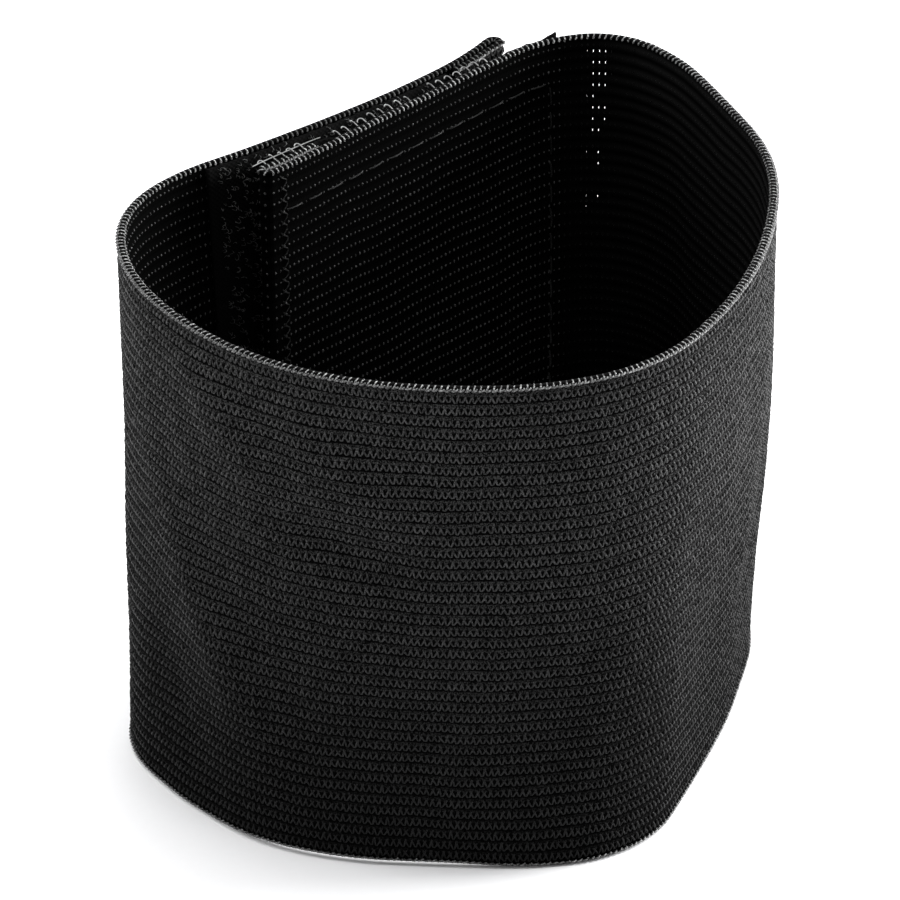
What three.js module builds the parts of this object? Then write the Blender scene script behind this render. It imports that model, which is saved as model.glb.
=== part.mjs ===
// A mourning armband: a wide strip of ribbed black elastic closed to a loop by hook-and-loop tape,
// standing on its lower edge. Millimetres and degrees, +Z up, +Y away from the side that shows most.
import * as THREE from 'three';

// Driving dimensions. The selvedge is the band's rounded edge, a tape runs from TAPE_LOW to TAPE_HIGH,
// a hem's fold bulges a little, and a station is a place where the faceted wall has a vertical line.
const BAND_WIDTH = 80;
const BAND_THICKNESS = 1.2;
const TAPE_THICKNESS = 1;
const LAYER_GAP = 0.32;
const SELVEDGE_ROUND = 0.35;
const SELVEDGE_FLAT = 0.8;
const TAPE_LOW = 0.9;
const TAPE_HIGH = 79.4;
const TAPE_STEP = 2.4;
const TAPE_EDGE_ROOM = 1;
const FOLD_BULGE = 0.4;
const FOLD_BULGE_LENGTH = 4;
const FOLD_STEPS = 8;
const HEM_RAMP_START = 1;
const HEM_RAMP_LENGTH = 4;
const STATION_TURN = 9;
const STATION_LENGTH = 5.5;

// The outer end's fold, where the strip starts its way round, at the top edge and at the lower edge.
// The strip leaves it along the outside of the closure.
const TOP_START = { x: 5.5, y: 51, heading: -126 };
const LOW_START = { x: 8.5, y: 48.5, heading: -130 };

// One row for each stretch of the strip, in order from the outer end to the inner end. Both edges
// have the same length of cloth, and each edge turns left by its own angle. Belly is how far the
// wall stands out between the edges.
const STRETCHES = [
  { name: 'outer tab', length: 10, topTurn: -6, lowTurn: 0, belly: 0 },
  { name: 'outer lap', length: 24, topTurn: -5, lowTurn: -9, belly: 0 },
  { name: 'lap root', length: 22, topTurn: -11, lowTurn: -1, belly: 0 },
  { name: 'left rear bend', length: 26, topTurn: 57, lowTurn: 26, belly: 0.3 },
  { name: 'left side', length: 20, topTurn: 32, lowTurn: 61, belly: 0.6 },
  { name: 'left front bend', length: 18, topTurn: 18, lowTurn: 8, belly: 0.4 },
  { name: 'left front flat', length: 14, topTurn: 19, lowTurn: 27, belly: 0.3 },
  { name: 'front left corner', length: 13, topTurn: 14, lowTurn: 14, belly: 0.8 },
  { name: 'front left', length: 14, topTurn: 11, lowTurn: -1, belly: 1.3 },
  { name: 'front right', length: 12, topTurn: 17, lowTurn: 14, belly: 1.4 },
  { name: 'front right corner', length: 20, topTurn: 38, lowTurn: 59, belly: 1.2 },
  { name: 'right front', length: 22, topTurn: 15, lowTurn: 5, belly: 0.8 },
  { name: 'right side', length: 21, topTurn: 14, lowTurn: 11, belly: 0.4 },
  { name: 'right rear', length: 23, topTurn: 24, lowTurn: 28, belly: 0 },
  { name: 'right rear flat', length: 18, topTurn: 7, lowTurn: -10, belly: -0.4 },
  { name: 'rear right corner', length: 10, topTurn: 16, lowTurn: 35, belly: -0.8 },
  { name: 'rear flat', length: 13, topTurn: 65, lowTurn: 69, belly: -0.8 },
  { name: 'rear left corner', length: 10, topTurn: 24, lowTurn: 23, belly: -0.4 },
  { name: 'inner lap', length: 38, topTurn: 5, lowTurn: -5, belly: 0 },
  { name: 'inner tab', length: 14, topTurn: -4, lowTurn: 0, belly: 0 },
];

// The levels of the wall: how high, how thick it is there, and the share of the belly.
const LEVELS = [
  { height: 0, thickness: SELVEDGE_FLAT, belly: 0 },
  { height: SELVEDGE_ROUND, thickness: BAND_THICKNESS, belly: 0 },
  { height: 10, thickness: BAND_THICKNESS, belly: -0.1 },
  { height: 20, thickness: BAND_THICKNESS, belly: 0 },
  { height: 32, thickness: BAND_THICKNESS, belly: 0.7 },
  { height: 44, thickness: BAND_THICKNESS, belly: 1 },
  { height: 56, thickness: BAND_THICKNESS, belly: 0.8 },
  { height: 68, thickness: BAND_THICKNESS, belly: 0.4 },
  { height: BAND_WIDTH - SELVEDGE_ROUND, thickness: BAND_THICKNESS, belly: 0 },
  { height: BAND_WIDTH, thickness: SELVEDGE_FLAT, belly: 0 },
];

// The hems and tapes, each measured along the strip from the end that carries it.
const OUTER_HEM = { length: 10, end: 'outer' };
const INNER_HEM = { length: 10.5, end: 'inner' };
const LOOP_TAPE = { from: 11, to: 58, end: 'outer', over: null };
const HOOK_TAPE = { from: 0.8, to: 60, end: 'inner', over: INNER_HEM };

const FINISHES = {
  elastic_band: { color: 0x1d1d1f, roughness: 0.86, metalness: 0 },
  hook_patch: { color: 0x161617, roughness: 0.55, metalness: 0 },
  loop_patch: { color: 0x121213, roughness: 0.95, metalness: 0 },
};

function stretchSteps(stretch) {
  const sharpest = Math.max(Math.abs(stretch.topTurn), Math.abs(stretch.lowTurn));
  return Math.max(2, Math.ceil(sharpest / STATION_TURN), Math.ceil(stretch.length / STATION_LENGTH));
}

// Walks one edge of the strip as arcs that run into each other, and gives a place at every station.
function walkEdge(start, turnName) {
  let { x, y } = start;
  let heading = THREE.MathUtils.degToRad(start.heading);
  const places = [new THREE.Vector2(x, y)];
  for (const stretch of STRETCHES) {
    const steps = stretchSteps(stretch);
    const half = THREE.MathUtils.degToRad(stretch[turnName]) / steps / 2;
    const arc = stretch.length / steps;
    const chord = half === 0 ? arc : (arc * Math.sin(half)) / half;
    for (let step = 0; step < steps; step += 1) {
      heading += half;
      x += chord * Math.cos(heading);
      y += chord * Math.sin(heading);
      heading += half;
      places.push(new THREE.Vector2(x, y));
    }
  }
  return places;
}

// The length of cloth up to each station.
function stationLengths() {
  const lengths = [0];
  for (const stretch of STRETCHES) {
    const steps = stretchSteps(stretch);
    for (let step = 0; step < steps; step += 1) {
      lengths.push(lengths.at(-1) + stretch.length / steps);
    }
  }
  return lengths;
}

// The belly at a length along the strip, eased from the middle of one stretch to the next.
function bellyAt(length) {
  let start = 0;
  let before = { middle: 0, belly: 0 };
  for (const stretch of STRETCHES) {
    const here = { middle: start + stretch.length / 2, belly: stretch.belly };
    if (length <= here.middle) {
      const share = THREE.MathUtils.smoothstep(length, before.middle, here.middle);
      return THREE.MathUtils.lerp(before.belly, here.belly, share);
    }
    before = here;
    start += stretch.length;
  }
  return before.belly;
}

// Unit vectors to the right of the way at each place, which is the outer side of the loop.
function rightSides(places) {
  return places.map((place, index) => {
    const before = places[Math.max(index - 1, 0)];
    const after = places[Math.min(index + 1, places.length - 1)];
    const way = after.clone().sub(before).normalize();
    return new THREE.Vector2(way.y, -way.x);
  });
}

const TOP_EDGE = walkEdge(TOP_START, 'topTurn');
const LOW_EDGE = walkEdge(LOW_START, 'lowTurn');
const LENGTHS = stationLengths();
const STRIP_LENGTH = LENGTHS.at(-1);

// The strip's middle line at one height, one place for each station.
function middleLine(height, bellyShare) {
  const share = height / BAND_WIDTH;
  const straight = LOW_EDGE.map((place, index) => place.clone().lerp(TOP_EDGE[index], share));
  const sides = rightSides(straight);
  return straight.map((place, index) => (
    place.addScaledVector(sides[index], bellyShare * bellyAt(LENGTHS[index]))
  ));
}

// A place on a line at a length along it, moved to the right of the way.
function placeAt(line, length, toRight) {
  let index = LENGTHS.findIndex((reached) => reached >= length);
  index = Math.max(index, 1);
  const share = (length - LENGTHS[index - 1]) / (LENGTHS[index] - LENGTHS[index - 1]);
  const sides = rightSides(line);
  const side = sides[index - 1].clone().lerp(sides[index], share).normalize();
  const place = line[index - 1].clone().lerp(line[index], share);
  return place.addScaledVector(side, toRight);
}

// How far a hem's second ply lies from the first, wider just behind the fold.
function hemSpacing(fromFold) {
  const flare = Math.max(0, 1 - fromFold / FOLD_BULGE_LENGTH);
  return BAND_THICKNESS + LAYER_GAP + FOLD_BULGE * flare * flare;
}

// A hem, from its raw end to the last place of its fold before the strip itself.
function hemLine(line, hem) {
  const outer = hem.end === 'outer';
  const towards = outer ? -1 : 1;
  const plySteps = Math.ceil(hem.length / TAPE_STEP);
  const places = [];
  for (let step = 0; step < plySteps; step += 1) {
    const fromFold = hem.length * (1 - step / plySteps);
    const length = outer ? fromFold : STRIP_LENGTH - fromFold;
    places.push(placeAt(line, length, towards * hemSpacing(fromFold)));
  }
  const fold = outer ? line[0] : line.at(-1);
  const side = outer ? rightSides(line)[0] : rightSides(line).at(-1);
  const across = side.clone().multiplyScalar(towards);
  const beyond = new THREE.Vector2(-side.y, side.x).multiplyScalar(outer ? -1 : 1);
  const radius = hemSpacing(0) / 2;
  for (let step = 0; step < FOLD_STEPS; step += 1) {
    const angle = (Math.PI * step) / FOLD_STEPS;
    const place = fold.clone().addScaledVector(across, radius + radius * Math.cos(angle));
    places.push(place.addScaledVector(beyond, radius * Math.sin(angle)));
  }
  return places;
}

// The whole strip at one level: the outer hem, the way round, and the inner hem.
function stripLine(level) {
  const line = middleLine(level.height, level.belly);
  return [...hemLine(line, OUTER_HEM), ...line, ...hemLine(line, INNER_HEM).reverse()];
}

// A tape at one level, beside the strip or over the hem that it covers.
function tapeLine(level, tape) {
  const line = middleLine(level.height, level.belly);
  const towards = tape.end === 'outer' ? -1 : 1;
  const beside = BAND_THICKNESS / 2 + LAYER_GAP + TAPE_THICKNESS / 2;
  const steps = Math.ceil((tape.to - tape.from) / TAPE_STEP);
  const places = [];
  for (let step = 0; step <= steps; step += 1) {
    const fromEnd = THREE.MathUtils.lerp(tape.from, tape.to, step / steps);
    const length = tape.end === 'outer' ? fromEnd : STRIP_LENGTH - fromEnd;
    let away = beside;
    if (tape.over) {
      const rampStart = tape.over.length + HEM_RAMP_START;
      const onHem = 1 - THREE.MathUtils.smoothstep(fromEnd, rampStart, rampStart + HEM_RAMP_LENGTH);
      away += onHem * hemSpacing(fromEnd);
    }
    places.push(placeAt(line, length, towards * away));
  }
  return places;
}

// A closed wall through one middle line for each level. Every level has the same number of places.
function wallGeometry(rows) {
  const count = rows[0].line.length;
  const positions = [];
  for (const row of rows) {
    const sides = rightSides(row.line);
    for (const hand of [-1, 1]) {
      row.line.forEach((place, index) => {
        const edge = place.clone().addScaledVector(sides[index], (hand * row.thickness) / 2);
        positions.push(edge.x, edge.y, row.height);
      });
    }
  }
  const left = (row, index) => row * 2 * count + index;
  const right = (row, index) => (row * 2 + 1) * count + index;
  const last = rows.length - 1;
  const faces = [];
  const quad = (a, b, c, d) => faces.push(a, b, c, a, c, d);
  for (let index = 0; index < count - 1; index += 1) {
    for (let row = 0; row < last; row += 1) {
      quad(left(row, index + 1), left(row, index), left(row + 1, index), left(row + 1, index + 1));
      quad(right(row, index), right(row, index + 1), right(row + 1, index + 1), right(row + 1, index));
    }
    quad(left(0, index), left(0, index + 1), right(0, index + 1), right(0, index));
    quad(right(last, index), right(last, index + 1), left(last, index + 1), left(last, index));
  }
  for (let row = 0; row < last; row += 1) {
    quad(left(row, 0), right(row, 0), right(row + 1, 0), left(row + 1, 0));
    const end = count - 1;
    quad(right(row, end), left(row, end), left(row + 1, end), right(row + 1, end));
  }
  const geometry = new THREE.BufferGeometry();
  geometry.setAttribute('position', new THREE.Float32BufferAttribute(positions, 3));
  geometry.setIndex(faces);
  geometry.computeVertexNormals();
  return geometry;
}

function bandGeometry() {
  return wallGeometry(LEVELS.map((level) => ({ ...level, line: stripLine(level) })));
}

// A tape has the band's own levels between its lower and upper edge.
function tapeGeometry(tape) {
  const lowest = TAPE_LOW + TAPE_EDGE_ROOM;
  const highest = TAPE_HIGH - TAPE_EDGE_ROOM;
  const between = LEVELS.filter((level) => level.height > lowest && level.height < highest);
  const edge = (height) => ({ height, belly: 0 });
  const levels = [edge(TAPE_LOW), ...between, edge(TAPE_HIGH)];
  const rows = levels.map((level) => (
    { height: level.height, thickness: TAPE_THICKNESS, line: tapeLine(level, tape) }
  ));
  return wallGeometry(rows);
}

const geometries = {
  elastic_band: bandGeometry(),
  hook_patch: tapeGeometry(HOOK_TAPE),
  loop_patch: tapeGeometry(LOOP_TAPE),
};

// The origin is the middle of the whole object's box, on the surface that the band stands on.
const box = new THREE.Box3();
for (const geometry of Object.values(geometries)) {
  geometry.computeBoundingBox();
  box.union(geometry.boundingBox);
}
const middle = box.getCenter(new THREE.Vector3());

const group = new THREE.Group();
for (const [name, geometry] of Object.entries(geometries)) {
  geometry.translate(-middle.x, -middle.y, 0);
  const mesh = new THREE.Mesh(geometry, new THREE.MeshStandardMaterial(FINISHES[name]));
  mesh.name = name;
  group.add(mesh);
}

export default group;
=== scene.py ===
# A mourning armband: a wide strip of ribbed black elastic, closed to a loop by hook-and-loop tape and
# standing on its lower edge. Metres, +Z up, +Y away from the side that shows most.
import math
from collections import namedtuple

import bpy
import numpy as np
from mathutils import Euler, Matrix


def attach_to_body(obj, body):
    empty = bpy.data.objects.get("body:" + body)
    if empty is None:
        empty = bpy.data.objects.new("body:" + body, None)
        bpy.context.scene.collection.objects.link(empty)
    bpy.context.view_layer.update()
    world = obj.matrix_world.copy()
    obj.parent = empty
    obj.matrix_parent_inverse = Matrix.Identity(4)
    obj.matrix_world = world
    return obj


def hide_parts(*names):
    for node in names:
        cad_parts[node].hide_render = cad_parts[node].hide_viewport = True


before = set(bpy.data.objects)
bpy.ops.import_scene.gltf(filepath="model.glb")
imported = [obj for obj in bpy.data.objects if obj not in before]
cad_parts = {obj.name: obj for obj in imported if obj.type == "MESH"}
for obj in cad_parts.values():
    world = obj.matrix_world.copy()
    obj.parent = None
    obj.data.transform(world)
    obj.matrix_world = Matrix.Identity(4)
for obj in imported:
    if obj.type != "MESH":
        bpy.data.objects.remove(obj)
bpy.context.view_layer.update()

bl_info = {
    "name": "Mourning Armband",
    "version": (1, 0, 0),
    "blender": (4, 5, 0),
    "location": "3D View > Sidebar > Armband",
    "description": "Builds a ribbed elastic armband with a hook-and-loop closure around its packed frame",
    "category": "Object",
}

MM = 0.001

# Driving dimensions of the cloth. A hem's ply lies a gap away from the strip and bulges near its fold.
BAND_WIDTH = 80 * MM
BAND_THICKNESS = 1.2 * MM
LAYER_GAP = 0.32 * MM
FOLD_BULGE = 0.4 * MM
FOLD_BULGE_LENGTH = 4 * MM
OUTER_HEM = 10 * MM
INNER_HEM = 10.5 * MM
HEM_RAMP_START = 1 * MM
HEM_RAMP_LENGTH = 4 * MM

# The knit: ribs along the strip, between two selvedges, and one stitch on each rib for each course. A
# stitch's middle and the neck between two stitches are shares of a rib's height.
RIBS = 42
SELVEDGE = 0.75 * MM
RIB_PITCH = (BAND_WIDTH - 2 * SELVEDGE) / RIBS
COURSE = 0.925 * MM
FIRST_COURSE = 0.6 * COURSE
STITCH_MIDDLE = 0.42
NECK_STARTS = (0.54, 0.68)
NECK_ENDS = (0.85, 0.96)

# The inner face is painted as lit over these lengths from the strip's two ends, with lighter and glossier
# bumps. Beyond a change of tone, painted shade darkens its bumps and a painted highlight lights its rib
# crests.
# The top edge's thread is painted darker over the outer lap, as painted shade.
OUTER_PART = 108 * MM
INNER_PART = 60 * MM
TONE_CHANGE = 15 * MM
LAP_PART = 50 * MM

# The tapes, measured along the strip from the end that carries each: where it starts and ends, its edges,
# how far its far top corner curls up, and how far its two faces lie from the strip's middle. Their upper
# edges have notches, whose depth follows two waves.
Tape = namedtuple("Tape", "start end low high corner_lift near far")
HOOK_TAPE = Tape(0.8 * MM, 60 * MM, 0.9 * MM, 79.5 * MM, 1.0 * MM, 0.68 * MM, 1.2 * MM)
LOOP_TAPE = Tape(11 * MM, 58 * MM, 0.9 * MM, 79.3 * MM, 0.0, 0.68 * MM, 1.15 * MM)
CORNER_LENGTH = 3 * MM
WEAVE_PITCH = 0.8 * MM
BACKING_STEP = 0.6 * MM
NOTCH_DEPTH = 0.12 * MM
NOTCH_WAVES = (0.37 * MM, 1.3 * MM)

# How far from their tape's ends and its lower and upper edge the hooks and the pile stay, how deep their
# roots sit in the backing, and how far under a tape's ends the knit's own stitches go. The hooks' lower
# margin counts from the cloth's lower edge.
Margins = namedtuple("Margins", "near far low high")
HOOK_MARGINS = Margins(0.8 * MM, 0.4 * MM, 2.2 * MM, 1.2 * MM)
PILE_MARGINS = Margins(0.3 * MM, 1.8 * MM, 0.3 * MM, 0.1 * MM)
HOOK_DEPTH = 0.05 * MM
EDGE_HOOK_DEPTH = 0.1 * MM
PILE_DEPTH = 0.02 * MM
UNDER_TAPE = 0.5 * MM

# Where hooks stand along the hook tape's top edge, and their lean. Where a filament has come loose, and how
# far it lies from that edge.
HOOK_GROUPS = [(1.4 * MM, 10 * MM), (15.5 * MM, 31.5 * MM), (36 * MM, 48 * MM)]
EDGE_HOOK_LEAN = 0.42
LOOSE_FILAMENT_AT = 6 * MM
LOOSE_FILAMENT_UP = 0.1 * MM
LOOSE_FILAMENT_OUT = 0.6 * MM

# The seams: how far they stay from the tape's two ends, how far the long stitches and the zigzags stay from
# the cloth's edges, the length that each long stitch takes up, and how far the thread lies from the
# cloth's middle.
SEAM_NEAR = 0.9 * MM
SEAM_FAR = 1.6 * MM
SEAM_INSET = 7.2 * MM
ZIGZAG_INSET = 1.5 * MM
SEAM_PITCH = 4.2 * MM
SEAM_OUT = 0.52 * MM

# The outer end's fold at the top edge and at the lower edge: its place and the way the strip leaves it.
Start = namedtuple("Start", "x y heading")
TOP_START = Start(5.5 * MM, 51 * MM, -126)
LOW_START = Start(8.5 * MM, 48.5 * MM, -130)

# What is taken off every place, so that the loop stands on the middle of its CAD box.
LOOP_MIDDLE = (-0.56 * MM, -1.12 * MM)

# One row for each stretch of the strip, from the outer end to the inner end: its length in millimetres,
# how many degrees each edge turns left in it, and how many millimetres the wall stands out there.
Stretch = namedtuple("Stretch", "name length top_turn low_turn belly")
STRETCHES = [
    Stretch("outer tab", 10, -6, 0, 0),
    Stretch("outer lap", 24, -5, -9, 0),
    Stretch("lap root", 22, -11, -1, 0),
    Stretch("left rear bend", 26, 57, 26, 0.3),
    Stretch("left side", 20, 32, 61, 0.1),
    Stretch("left front bend", 18, 18, 8, 0.4),
    Stretch("left front flat", 14, 19, 27, 0.3),
    Stretch("front left corner", 13, 14, 14, 0.8),
    Stretch("front left", 14, 11, -1, 1.3),
    Stretch("front right", 12, 17, 14, 1.4),
    Stretch("front right corner", 20, 38, 59, 1.2),
    Stretch("right front", 22, 15, 5, 0.8),
    Stretch("right side", 21, 14, 11, 1.0),
    Stretch("right rear", 23, 24, 28, 0.3),
    Stretch("right rear flat", 18, 7, -10, -0.4),
    Stretch("rear right corner", 10, 16, 35, -0.8),
    Stretch("rear flat", 13, 65, 69, -0.8),
    Stretch("rear left corner", 10, 24, 23, -0.4),
    Stretch("inner lap", 38, 5, -5, 0),
    Stretch("inner tab", 14, -4, 0, 0),
]
LENGTHS = np.array([row.length for row in STRETCHES]) * MM
STARTS = np.concatenate([[0.0], np.cumsum(LENGTHS)[:-1]])
STRIP = float(LENGTHS.sum())

# The share of the belly at each height.
Level = namedtuple("Level", "height belly")
LEVELS = [
    Level(0, 0), Level(10, -0.1), Level(20, 0), Level(32, 0.7), Level(44, 1),
    Level(56, 0.8), Level(68, 0.4), Level(80, 0),
]

# The lower edge stands a little off the surface between these lengths of the strip. The top edge rises all
# the way round, and more at the outer end's corner.
LIFT_FROM = 114 * MM
LIFT_TO = 172 * MM
LIFT_EASE = 20 * MM
LIFT = 0.55 * MM
LIFT_HEIGHT = 14 * MM
RIM_RISE = 0.25 * MM
CORNER_RISE = 0.6 * MM
CORNER_RISE_LENGTH = 12 * MM

# Where the wall stands in or out of those smooth stretches, at its lower edge, half way up and at its
# top edge, and where its top edge stands up. Each row fades out at its reach to both sides. Millimetres.
Swell = namedtuple("Swell", "place at reach low middle top rise")
SWELLS = [
    Swell("outer tab", 0, 30, 0.1, 0, -0.4, 0.1),
    Swell("outer lap", 42, 24, 0, 0, 0.2, 0.4),
    Swell("left rear bend", 80, 24, -1.3, -0.2, 0.6, 0.3),
    Swell("left front bend", 98, 15, -0.7, -0.4, 0, 0),
    Swell("front left", 146, 30, 0.5, 0, 0.1, 0),
    Swell("front right", 198, 44, -0.7, -0.2, 0, 0),
    Swell("right side", 252, 26, 1.6, 0.7, 0.3, 0),
    Swell("right rear", 280, 20, 0.4, 0.1, 0.5, 0.2),
    Swell("rear", 306, 26, 0.1, 0, 0.4, 0.35),
]

# Soft folds and dents of the front: the middle of each along the strip and up it, its half length, half
# width and slant, falling to the right below 0, and how far it stands out. Millimetres and degrees. They
# fade towards both edges.
Fold = namedtuple("Fold", "place at height long wide slant out")
FOLDS = [
    Fold("upper left ridge", 118, 69, 16, 5, -52, 1.7),
    Fold("left hollow", 111, 51, 14, 5, -55, -0.8),
    Fold("lower left ridge", 119, 30, 15, 5, -60, 1.7),
    Fold("lower left hollow", 110, 16, 14, 5, -62, -0.8),
    Fold("front dent", 136, 53.5, 10, 4.5, -18, -1.5),
    Fold("front ridge", 140, 64.5, 12, 4.5, -32, 1.2),
]
FOLDS_FADE = 9 * MM

# Slack in the cloth: waves along the strip and up it. It eases in and out between these lengths, because
# the closure's layers lie straight. The ribs wander too, from the first of two distances to the edge on, and
# fully from the second on.
ROUNDS_START = (55 * MM, 80 * MM)
ROUNDS_END = (290 * MM, 312 * MM)
Wave = namedtuple("Wave", "length height depth phase")
SLACK = [
    Wave(31 * MM, 90 * MM, 0.16 * MM, 0.4),
    Wave(19 * MM, -55 * MM, 0.09 * MM, 2.1),
    Wave(47 * MM, 38 * MM, 0.10 * MM, 4.0),
]
RIB_SLACK = [
    Wave(23 * MM, 210 * MM, 0.13 * MM, 1.2),
    Wave(11 * MM, -64 * MM, 0.06 * MM, 3.3),
]
DRIFT_STARTS = (1 * MM, 9 * MM)

# Open stitches that let light through the rear of the loop: the groove's number from the top, and the
# courses counted from the one nearest to PINHOLES_AT.
PINHOLES_AT = 296 * MM
PINHOLES = {
    1: (-2, -1, 0, 1, 2), 2: (-1, 0, 1), 3: (-2, -1, 0, 1), 4: (-1, 0, 1), 5: (1, 2), 6: (-1, 0, 1),
    7: (-1, 1), 8: (0, 1), 10: (0, 2), 11: (0,), 14: (-2, 0, 2), 15: (2,),
}
PINHOLE_WIDTHS = {-2: 0.1 * MM, -1: 0.13 * MM, 0: 0.09 * MM, 1: 0.12 * MM, 2: 0.1 * MM}


class Edge:
    """One edge of the strip: arcs of cloth that run into each other."""

    def __init__(self, start, turns):
        turns = np.radians(turns)
        self.curvature = turns / LENGTHS
        self.heading = math.radians(start.heading) + np.concatenate([[0.0], np.cumsum(turns)[:-1]])
        self.corner = np.zeros((len(turns), 2))
        self.corner[0] = start.x, start.y
        for row in range(1, len(turns)):
            self.corner[row] = self.at(np.array([STARTS[row] - 1e-12]))[0][0]

    def at(self, lengths):
        """The places and the unit ways at these lengths of cloth."""
        row = np.clip(np.searchsorted(STARTS, lengths, "right") - 1, 0, len(STARTS) - 1)
        along = lengths - STARTS[row]
        turn = self.curvature[row] * along
        chord = along * np.sinc(turn / 2 / math.pi)
        middle = self.heading[row] + turn / 2
        heading = self.heading[row] + turn
        places = self.corner[row] + chord[:, None] * np.stack([np.cos(middle), np.sin(middle)], 1)
        return places, np.stack([np.cos(heading), np.sin(heading)], 1)


TOP_EDGE = Edge(TOP_START, [row.top_turn for row in STRETCHES])
LOW_EDGE = Edge(LOW_START, [row.low_turn for row in STRETCHES])


def smoothstep(values, low, high):
    share = np.clip((values - low) / (high - low), 0, 1)
    return share * share * (3 - 2 * share)


def flowing(values, knots, heights):
    """A curve through the knots that turns smoothly at each."""
    knots, heights = np.array(knots, float), np.array(heights, float)
    slopes = np.gradient(heights, knots)
    row = np.clip(np.searchsorted(knots, values, "right") - 1, 0, len(knots) - 2)
    width = knots[row + 1] - knots[row]
    t = np.clip((values - knots[row]) / width, 0, 1)
    rise = heights[row + 1] - heights[row]
    eased = t * t * (3 - 2 * t)
    bend = width * (slopes[row] * t * (1 - t) ** 2 - slopes[row + 1] * t * t * (1 - t))
    return heights[row] + rise * eased + bend


def wave_sum(waves, lengths, heights):
    total = np.zeros_like(lengths)
    for wave in waves:
        angle = 2 * math.pi * (lengths / wave.length + heights / wave.height) + wave.phase
        total += wave.depth * np.sin(angle)
    return total


def belly(lengths, heights):
    """How far the wall stands out, eased from the middle of one stretch to the next."""
    middles = np.concatenate([[0.0], STARTS + LENGTHS / 2])
    sizes = np.array([0.0] + [row.belly for row in STRETCHES]) * MM
    row = np.clip(np.searchsorted(middles, lengths, "right") - 1, 0, len(middles) - 2)
    share = smoothstep(lengths, middles[row], middles[row + 1])
    along = sizes[row] + (sizes[row + 1] - sizes[row]) * share
    share_up = flowing(heights / MM, [level.height for level in LEVELS], [level.belly for level in LEVELS])
    return along * share_up


def swell(lengths, name):
    """How far the wall swells at these lengths, from all the rows together."""
    total = np.zeros_like(lengths)
    for row in SWELLS:
        away = np.clip(abs(lengths / MM - row.at) / row.reach, 0, 1)
        total += getattr(row, name) * MM * (1 + np.cos(math.pi * away)) / 2
    return total


def folds(lengths, heights):
    """How far the soft folds and dents stand out, from all the rows together."""
    total = np.zeros_like(lengths)
    for row in FOLDS:
        slant = math.radians(row.slant)
        right, up = lengths / MM - row.at, heights / MM - row.height
        along = (right * math.cos(slant) + up * math.sin(slant)) / row.long
        across = (up * math.cos(slant) - right * math.sin(slant)) / row.wide
        total += row.out * MM * np.exp(-along ** 2 - across ** 2)
    return total * smoothstep(np.minimum(heights, BAND_WIDTH - heights), 0, FOLDS_FADE)


def on_rounds(lengths):
    """1 where the strip goes round the arm, and 0 at the closure."""
    return smoothstep(lengths, *ROUNDS_START) * (1 - smoothstep(lengths, *ROUNDS_END))


def wall(lengths, heights):
    """Places on the strip's middle surface, and the ways along it and to its outer side, level."""
    share = (heights / BAND_WIDTH)[:, None]
    low, low_way = LOW_EDGE.at(lengths)
    top, top_way = TOP_EDGE.at(lengths)
    way = low_way + (top_way - low_way) * share
    way /= np.linalg.norm(way, axis=1)[:, None]
    side = np.stack([way[:, 1], -way[:, 0]], 1)
    middle_zone = np.sin(math.pi * np.clip(heights / BAND_WIDTH, 0, 1))
    slack = wave_sum(SLACK, lengths, heights) * middle_zone * on_rounds(lengths)
    out = belly(lengths, heights) + slack + folds(lengths, heights)
    out += swell(lengths, "low") * (1 - share[:, 0])
    out += swell(lengths, "top") * share[:, 0] + swell(lengths, "middle") * middle_zone ** 2
    return low + (top - low) * share + side * out[:, None], way, side


def hem_spacing(from_fold):
    """How far a hem's second ply lies from the first, wider just behind the fold."""
    flare = np.clip(1 - from_fold / FOLD_BULGE_LENGTH, 0, 1)
    return BAND_THICKNESS + LAYER_GAP + FOLD_BULGE * flare * flare


FOLD_RADIUS = (BAND_THICKNESS + LAYER_GAP + FOLD_BULGE) / 2
FOLD = math.pi * FOLD_RADIUS
CLOTH = OUTER_HEM + FOLD + STRIP + FOLD + INNER_HEM
STRIP_AT = OUTER_HEM + FOLD


def cloth_place(cloth, heights):
    """Places on the middle of the cloth, which runs from the outer hem's raw end to the inner hem's."""
    lengths = cloth - STRIP_AT
    beyond_end = np.maximum(-lengths, lengths - STRIP)
    outer = lengths < STRIP / 2
    angle = np.clip(beyond_end, 0, FOLD) / FOLD_RADIUS
    from_fold = np.clip(beyond_end - FOLD, 0, None)
    on_strip = np.where(outer, np.maximum(lengths, 0), np.minimum(lengths, STRIP))
    base = np.where(from_fold > 0, np.where(outer, from_fold, STRIP - from_fold), on_strip)
    across = FOLD_RADIUS * (1 - np.cos(angle))
    across = np.where(from_fold > 0, hem_spacing(from_fold), across)
    reach = FOLD_RADIUS * np.sin(angle)
    place, way, side = wall(base, heights)
    hand = np.where(outer, -1.0, 1.0)[:, None]
    place = place + hand * side * across[:, None] + hand * way * reach[:, None]
    lifted = smoothstep(base, LIFT_FROM, LIFT_FROM + LIFT_EASE)
    lifted = lifted * (1 - smoothstep(base, LIFT_TO - LIFT_EASE, LIFT_TO))
    low_part = np.clip(1 - heights / LIFT_HEIGHT, 0, 1) ** 2
    corner = np.clip(1 - base / CORNER_RISE_LENGTH, 0, 1) ** 2 * (heights / BAND_WIDTH) ** 2
    rise = CORNER_RISE * corner + (RIM_RISE + swell(base, "rise")) * (heights / BAND_WIDTH) ** 2
    height = heights + LIFT * lifted * low_part + rise
    return np.column_stack([place - LOOP_MIDDLE, height])


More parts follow.
